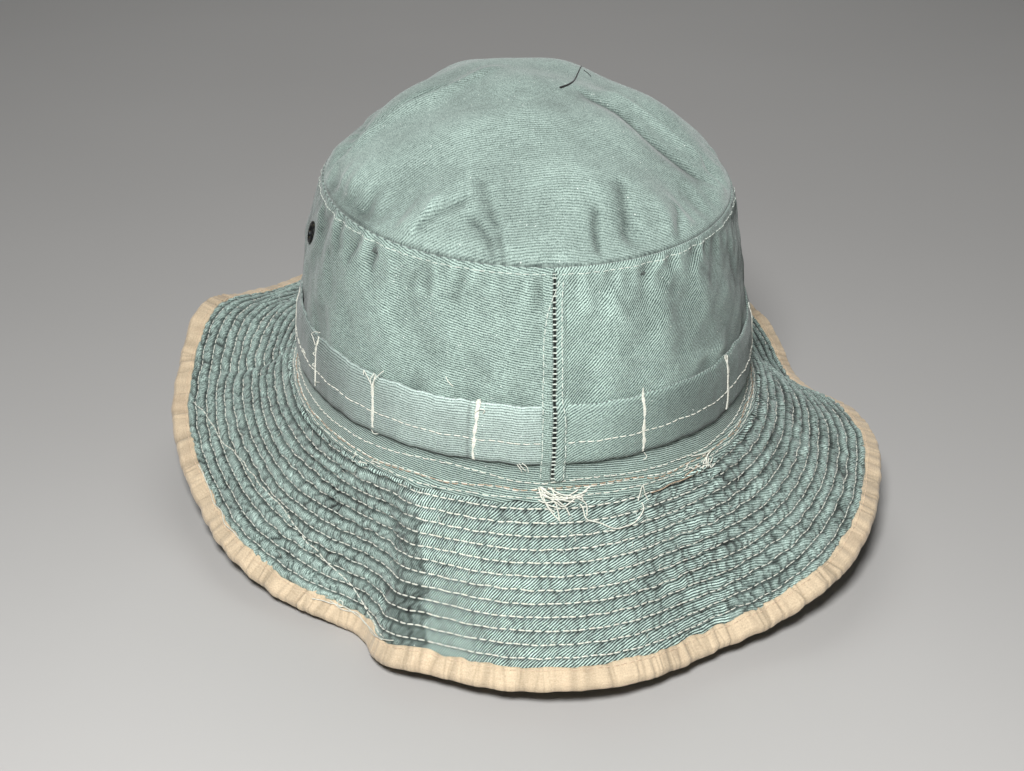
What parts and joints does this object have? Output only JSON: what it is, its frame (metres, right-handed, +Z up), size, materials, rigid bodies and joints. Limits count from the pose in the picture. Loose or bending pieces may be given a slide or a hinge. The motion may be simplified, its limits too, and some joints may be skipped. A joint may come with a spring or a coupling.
{
  "type": "boonie hat",
  "caption": "Soft cloth sun hat with a domed oval crown, a foliage-loop band, side vents and a quilted drooping brim with a taped edge.",
  "frame": {"origin": "centre of the head opening, on the seam between crown and brim", "axes": "+Z up through the crown, -Y towards the back closing seam, +Y towards the wearer's front, +X to the side that is on the right when the hat is seen from the back"},
  "size_m": [0.2784, 0.3029, 0.1753],
  "materials": {
    "sage_twill": "faded sage green cotton twill",
    "dark_lining": "darker green cotton, unfaded inside",
    "interlining": "stiff undyed cotton",
    "tan_binding": "tan cotton tape, worn",
    "cream_thread": "cream sewing thread",
    "black_brass": "black paint on brass, worn"
  },
  "bodies": {
    "root": {"crown_tip": "sage_twill", "side_panel_left": "sage_twill", "side_panel_right": "sage_twill", "back_seam": "sage_twill", "front_seam": "sage_twill", "tip_seam_tape": "dark_lining", "base_strip": "sage_twill", "loop_band_left": "sage_twill", "loop_band_right": "sage_twill", "bartacks": "cream_thread", "eyelet_barrels": "black_brass", "eyelet_washers": "black_brass", "brim_top": "sage_twill", "brim_interlining": "interlining", "brim_under": "sage_twill", "edge_binding": "tan_binding", "sweatband": "dark_lining", "tip_stitching": "cream_thread", "seam_stitching": "cream_thread", "band_stitching": "cream_thread", "base_stitching": "cream_thread", "brim_stitching": "cream_thread"}
  },
  "joints": []
}
